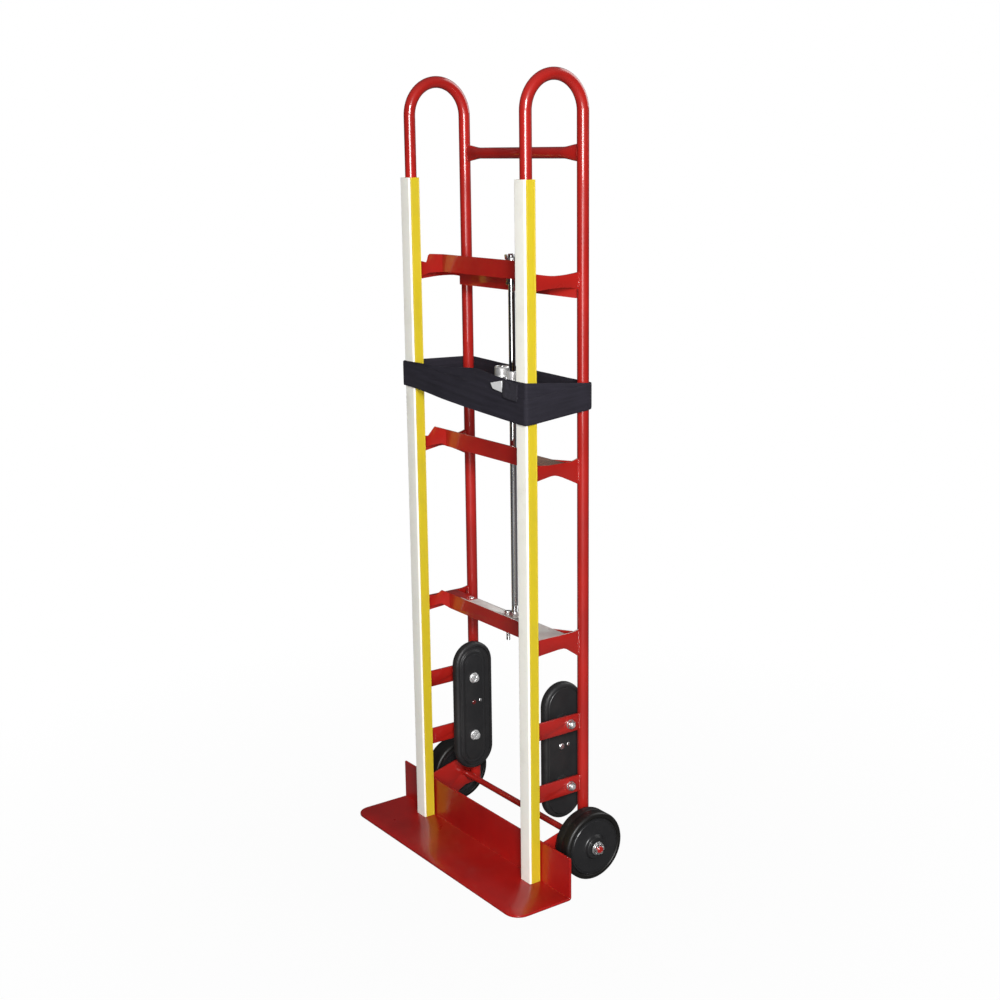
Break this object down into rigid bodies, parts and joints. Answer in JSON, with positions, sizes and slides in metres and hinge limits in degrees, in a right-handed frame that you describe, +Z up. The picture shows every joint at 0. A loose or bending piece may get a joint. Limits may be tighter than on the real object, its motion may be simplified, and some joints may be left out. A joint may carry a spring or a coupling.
{
  "type": "stair climbing trolley",
  "caption": "Upright appliance hand truck with stair crawlers, toe plate, bumper strips, handle loops and a ratchet strap on a guide rod.",
  "frame": {"origin": "on the floor at the centre of the outline, under the truck standing upright on its toe plate and wheels", "axes": "+Z up, -Y towards the load side (front), +X to the right as seen from the front"},
  "size_m": [0.583, 0.2902, 1.524],
  "materials": {
    "red_paint": "gloss",
    "white_strip": "satin",
    "yellow_strip": "satin",
    "black_plastic": "satin",
    "wheel_plastic": "gloss",
    "crawler_rubber": "matte",
    "tyre_rubber": "satin",
    "zinc": "bright zinc",
    "chrome": "polished",
    "webbing": "woven",
    "nylon": "satin"
  },
  "bodies": {
    "root": {"side_frame_left": "red_paint", "side_frame_right": "red_paint", "top_cross_tube": "red_paint", "lower_cross_member": "red_paint", "middle_cross_member": "red_paint", "upper_cross_member": "red_paint", "bumper_face_left": "white_strip", "bumper_channel_left": "yellow_strip", "bumper_face_right": "white_strip", "bumper_channel_right": "yellow_strip", "toe_plate": "red_paint", "axle_bracket_left": "red_paint", "axle_bracket_right": "red_paint", "axle": "red_paint", "axle_spacer_left": "zinc", "axle_nut_left": "zinc", "axle_spacer_right": "zinc", "axle_nut_right": "zinc", "crawler_core_left": "black_plastic", "crawler_belt_left": "crawler_rubber", "strap_bar_left_lower": "red_paint", "crawler_bolt_left_lower": "zinc", "crawler_nut_left_lower": "zinc", "strap_bar_left_upper": "red_paint", "crawler_bolt_left_upper": "zinc", "crawler_nut_left_upper": "zinc", "crawler_core_right": "black_plastic", "crawler_belt_right": "crawler_rubber", "strap_bar_right_lower": "red_paint", "crawler_bolt_right_lower": "zinc", "crawler_nut_right_lower": "zinc", "strap_bar_right_upper": "red_paint", "crawler_bolt_right_upper": "zinc", "crawler_nut_right_upper": "zinc", "guide_rod": "chrome", "rod_top_nut": "zinc", "rod_wing_nut": "zinc", "rod_upper_collar": "chrome", "rod_foot_nut": "zinc", "rod_lock_nut": "zinc", "foot_bolt": "zinc"},
    "wheel_left": {"wheel_tyre_left": "tyre_rubber", "wheel_disc_left": "wheel_plastic", "wheel_bush_left": "nylon"},
    "wheel_right": {"wheel_tyre_right": "tyre_rubber", "wheel_disc_right": "wheel_plastic", "wheel_bush_right": "nylon"},
    "strap_carriage": {"carriage_bracket": "zinc", "strap_inner_turn": "webbing", "strap_outer_turn": "webbing", "strap_lead": "webbing", "strap_hook": "zinc", "strap_end_loop": "webbing"},
    "tightener_spool": {"spool_shaft": "zinc", "webbing_roll": "webbing", "ratchet_wheel": "zinc", "tightener_knob": "chrome"},
    "lever": {"ratchet_lever": "zinc", "lever_grip": "black_plastic"},
    "pawl": {"ratchet_pawl": "zinc"}
  },
  "joints": [
    {"name": "wheel_left_spin", "type": "hinge", "parent": "root", "child": "wheel_left", "pos_m": [-0.2295, 0.0776, 0.0675], "axis": [1, 0, 0], "continuous": true},
    {"name": "wheel_right_spin", "type": "hinge", "parent": "root", "child": "wheel_right", "pos_m": [0.2295, 0.0776, 0.0675], "axis": [1, 0, 0], "continuous": true},
    {"name": "strap_slide", "type": "slide", "parent": "root", "child": "strap_carriage", "axis": [0, 0, 1], "range_m": [-0.065, 0.13]},
    {"name": "spool_spin", "type": "hinge", "parent": "strap_carriage", "child": "tightener_spool", "pos_m": [0.013, 0.0395, 0.93], "axis": [0, 0, 1], "continuous": true},
    {"name": "lever_swing", "type": "hinge", "parent": "strap_carriage", "child": "lever", "pos_m": [0.013, 0.0395, 0.8945], "axis": [0, 0, 1], "range_deg": [-50, 50]},
    {"name": "pawl_swing", "type": "hinge", "parent": "strap_carriage", "child": "pawl", "pos_m": [-0.014, 0.0555, 0.96], "axis": [0, 0, 1], "range_deg": [0, 20], "stiffness_Nm_per_rad": 0.01}
  ]
}
